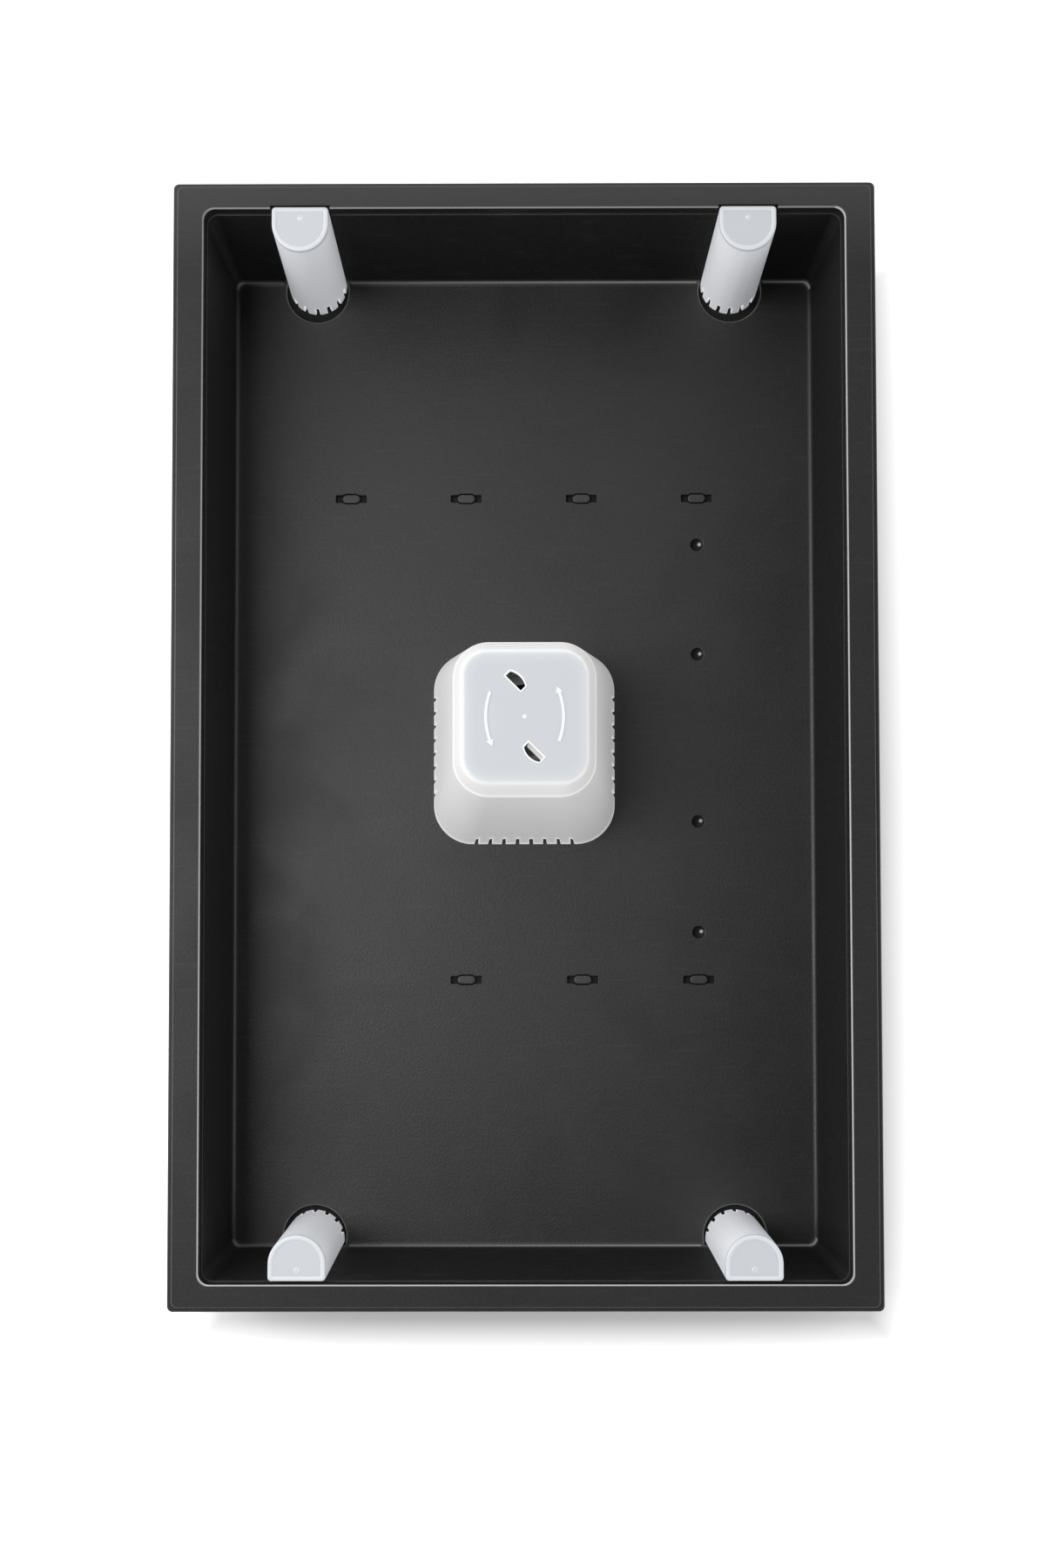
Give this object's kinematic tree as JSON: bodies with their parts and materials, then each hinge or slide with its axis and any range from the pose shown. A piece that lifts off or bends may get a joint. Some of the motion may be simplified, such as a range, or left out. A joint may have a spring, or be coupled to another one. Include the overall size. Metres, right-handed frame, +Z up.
{
  "type": "hive top feeder",
  "caption": "Black moulded syrup tray for the top of a beehive, with a bayonet-locked centre cover and lift-off corner covers over its bee chimneys.",
  "frame": {"origin": "middle of the plane that the skirt stands on, under the middle of the tray", "axes": "+Z up, +Y along the tray towards its rear end, +X to the right seen from the front end"},
  "size_m": [0.318, 0.508, 0.072],
  "materials": {
    "black_plastic": "fine satin moulding grain",
    "milky_plastic": "natural translucent polypropylene, satin"
  },
  "bodies": {
    "tray": {"tray": "black_plastic"},
    "centre_cover": {"centre_cover": "milky_plastic"},
    "corner_cover_rear_left": {"corner_cover_rear_left": "milky_plastic"},
    "corner_cover_rear_right": {"corner_cover_rear_right": "milky_plastic"},
    "corner_cover_front_left": {"corner_cover_front_left": "milky_plastic"},
    "corner_cover_front_right": {"corner_cover_front_right": "milky_plastic"}
  },
  "joints": [
    {"name": "centre_cover_turn", "type": "hinge", "parent": "tray", "child": "centre_cover", "pos_m": [0, 0.011, 0.07], "axis": [0, 0, 1], "range_deg": [0, 45]},
    {"name": "rear_left_lift", "type": "slide", "parent": "tray", "child": "corner_cover_rear_left", "axis": [0, 0, 1], "range_m": [0, 0.065]},
    {"name": "rear_right_lift", "type": "slide", "parent": "tray", "child": "corner_cover_rear_right", "axis": [0, 0, 1], "range_m": [0, 0.065]},
    {"name": "front_left_lift", "type": "slide", "parent": "tray", "child": "corner_cover_front_left", "axis": [0, 0, 1], "range_m": [0, 0.065]},
    {"name": "front_right_lift", "type": "slide", "parent": "tray", "child": "corner_cover_front_right", "axis": [0, 0, 1], "range_m": [0, 0.065]}
  ]
}
